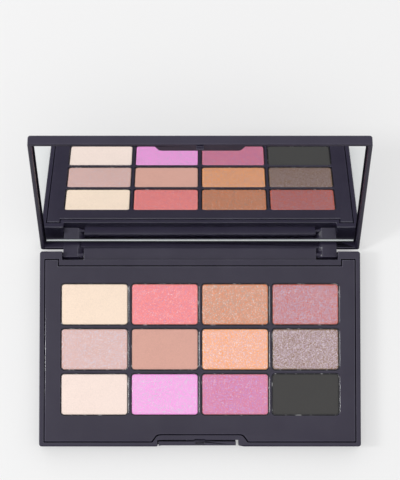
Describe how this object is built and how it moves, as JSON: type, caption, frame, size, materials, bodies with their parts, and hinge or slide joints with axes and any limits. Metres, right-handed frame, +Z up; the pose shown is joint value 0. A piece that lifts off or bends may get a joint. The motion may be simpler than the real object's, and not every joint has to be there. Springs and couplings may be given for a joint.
{
  "type": "eyeshadow palette",
  "caption": "Slim rectangular makeup palette, lid open: pressed eyeshadow powders in metal pans in a grid, full-width mirror in a hinged lid, push-button latch at the front.",
  "frame": {"origin": "centre of the base's flat underside, halfway between its sides and between its front and rear walls", "axes": "+X to the right along the hinge, +Y from the latch at the front to the hinge at the rear, +Z up out of the powders"},
  "size_m": [0.145, 0.133, 0.081],
  "materials": {
    "shell_plastic": "fine satin, dark violet grey moulded plastic",
    "tray_plastic": "satin, dark violet grey moulded plastic",
    "pan_metal": "thin pressed sheet, bright rolled edge",
    "pin_steel": "drawn steel wire",
    "mirror_glass": "silvered glass with a bright bead along its lower edge",
    "foam_tape": "thin double-sided mounting tape",
    "hot_melt": "cured adhesive dot",
    "powder_cream": "matte pressed powder",
    "powder_coral": "shimmer pressed powder",
    "powder_bronze": "metallic shimmer pressed powder",
    "powder_mauve": "shimmer pressed powder",
    "powder_dusty_rose": "satin pressed powder",
    "powder_tan": "matte pressed powder",
    "powder_peach": "shimmer pressed powder",
    "powder_taupe": "metallic shimmer pressed powder",
    "powder_ivory": "matte pressed powder",
    "powder_orchid": "satin pressed powder with fine glitter",
    "powder_plum": "satin pressed powder",
    "powder_charcoal": "matte pressed powder"
  },
  "bodies": {
    "base": {"base_shell": "shell_plastic", "tray_insert": "tray_plastic", "glue_dot_cream": "hot_melt", "pan_cream": "pan_metal", "powder_cream": "powder_cream", "glue_dot_coral": "hot_melt", "pan_coral": "pan_metal", "powder_coral": "powder_coral", "glue_dot_bronze": "hot_melt", "pan_bronze": "pan_metal", "powder_bronze": "powder_bronze", "glue_dot_mauve": "hot_melt", "pan_mauve": "pan_metal", "powder_mauve": "powder_mauve", "glue_dot_dusty_rose": "hot_melt", "pan_dusty_rose": "pan_metal", "powder_dusty_rose": "powder_dusty_rose", "glue_dot_tan": "hot_melt", "pan_tan": "pan_metal", "powder_tan": "powder_tan", "glue_dot_peach": "hot_melt", "pan_peach": "pan_metal", "powder_peach": "powder_peach", "glue_dot_taupe": "hot_melt", "pan_taupe": "pan_metal", "powder_taupe": "powder_taupe", "glue_dot_ivory": "hot_melt", "pan_ivory": "pan_metal", "powder_ivory": "powder_ivory", "glue_dot_orchid": "hot_melt", "pan_orchid": "pan_metal", "powder_orchid": "powder_orchid", "glue_dot_plum": "hot_melt", "pan_plum": "pan_metal", "powder_plum": "powder_plum", "glue_dot_charcoal": "hot_melt", "pan_charcoal": "pan_metal", "powder_charcoal": "powder_charcoal", "hinge_pin_left": "pin_steel", "hinge_pin_right": "pin_steel", "latch_spring": "pin_steel"},
    "lid": {"lid_shell": "shell_plastic", "mirror": "mirror_glass", "mirror_tape": "foam_tape"},
    "latch_button": {"latch_button": "shell_plastic"}
  },
  "joints": [
    {"name": "lid_hinge", "type": "hinge", "parent": "base", "child": "lid", "pos_m": [0, 0.0425, 0.0056], "axis": [1, 0, 0], "range_deg": [0, 117]},
    {"name": "latch_press", "type": "slide", "parent": "base", "child": "latch_button", "axis": [0, 1, 0], "range_m": [0, 0.0006], "stiffness_N_per_m": 900, "deforming": ["latch_spring"]}
  ]
}
